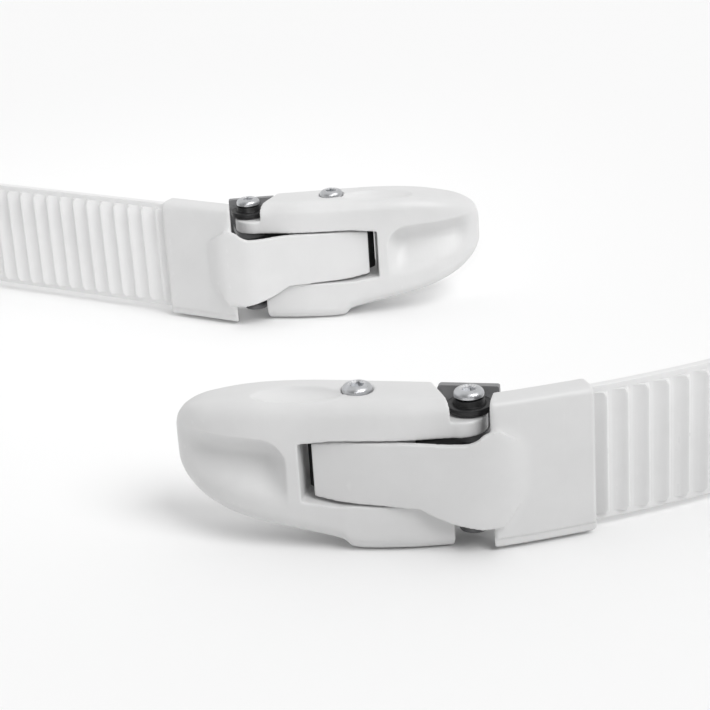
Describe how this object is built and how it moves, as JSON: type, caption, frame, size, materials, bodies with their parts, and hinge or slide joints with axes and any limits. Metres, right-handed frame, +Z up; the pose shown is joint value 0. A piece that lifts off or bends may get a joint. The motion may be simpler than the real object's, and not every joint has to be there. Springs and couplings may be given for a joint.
{
  "type": "ski boot cuff buckle pair",
  "caption": "Pair of white over-centre lever buckles with toothed ladder straps, a left and a right, closed, for ski boot cuffs.",
  "frame": {"origin": "centre of the ground that the pair covers, at the ground", "axes": "+X along the longer side of the pair, the right strap's way; +Y away from the viewer, towards the boot side; +Z up, along every hinge axis"},
  "size_m": [0.2758, 0.2104, 0.0334],
  "materials": {
    "white_plastic": "satin moulded, very fine grain",
    "strap_plastic": "satin moulded, flexible",
    "black_plastic": "satin",
    "plated_steel": "bright zinc plated",
    "painted_steel": "dark grey, satin",
    "spring_steel": "drawn wire"
  },
  "bodies": {
    "bases": {"right_base_plate": "painted_steel", "right_pivot_barrel": "painted_steel", "right_pivot_screw": "plated_steel", "right_upper_washers": "black_plastic", "right_lower_washers": "black_plastic", "left_base_plate": "painted_steel", "left_pivot_barrel": "painted_steel", "left_pivot_screw": "plated_steel", "left_upper_washers": "black_plastic", "left_lower_washers": "black_plastic"},
    "right_handle": {"right_lever": "white_plastic", "right_link_barrel": "plated_steel", "right_link_screw": "plated_steel"},
    "right_receiver": {"right_receiver_frame": "black_plastic", "right_receiver_cover": "white_plastic", "right_cover_pin": "plated_steel", "right_pawl_pin": "plated_steel", "right_pawl_spring": "spring_steel"},
    "right_catch": {"right_pawl": "black_plastic"},
    "right_band": {"right_strap": "strap_plastic"},
    "left_handle": {"left_lever": "white_plastic", "left_link_barrel": "plated_steel", "left_link_screw": "plated_steel"},
    "left_receiver": {"left_receiver_frame": "black_plastic", "left_receiver_cover": "white_plastic", "left_cover_pin": "plated_steel", "left_pawl_pin": "plated_steel", "left_pawl_spring": "spring_steel"},
    "left_catch": {"left_pawl": "black_plastic"},
    "left_band": {"left_strap": "strap_plastic"}
  },
  "joints": [
    {"name": "right_lever_swing", "type": "hinge", "parent": "bases", "child": "right_handle", "pos_m": [0.0222, -0.09606, 0.0172], "axis": [0, 0, 1], "range_deg": [0, 110]},
    {"name": "right_receiver_link", "type": "hinge", "parent": "right_handle", "child": "right_receiver", "pos_m": [0.00044, -0.09246, 0.0172], "axis": [0, 0, 1], "range_deg": [-83, 0]},
    {"name": "right_pawl_lift", "type": "hinge", "parent": "right_receiver", "child": "right_catch", "pos_m": [0.02127, -0.1017, 0.0172], "axis": [0, 0, -1], "range_deg": [0, 5.5], "stiffness_Nm_per_rad": 0.002},
    {"name": "right_strap_slide", "type": "hinge", "parent": "right_receiver", "child": "right_band", "pos_m": [-0.01969, 0.13164, 0.0172], "axis": [0, 0, 1], "range_deg": [0, 2.19]},
    {"name": "left_lever_swing", "type": "hinge", "parent": "bases", "child": "left_handle", "pos_m": [-0.025, 0.04444, 0.0172], "axis": [0, 0, -1], "range_deg": [0, 110]},
    {"name": "left_receiver_link", "type": "hinge", "parent": "left_handle", "child": "left_receiver", "pos_m": [-0.00296, 0.04382, 0.0172], "axis": [0, 0, -1], "range_deg": [-83, 0]},
    {"name": "left_pawl_lift", "type": "hinge", "parent": "left_receiver", "child": "left_catch", "pos_m": [-0.02511, 0.03712, 0.0172], "axis": [0, 0, 1], "range_deg": [0, 5.5], "stiffness_Nm_per_rad": 0.002},
    {"name": "left_strap_slide", "type": "slide", "parent": "left_receiver", "child": "left_band", "axis": [-0.8563, 0.5165, 0], "range_m": [0, 0.0092]}
  ],
  "couplings": [
    {"joint": "right_receiver_link", "follows": "right_lever_swing", "ratio": -0.75},
    {"joint": "left_receiver_link", "follows": "left_lever_swing", "ratio": -0.75}
  ]
}
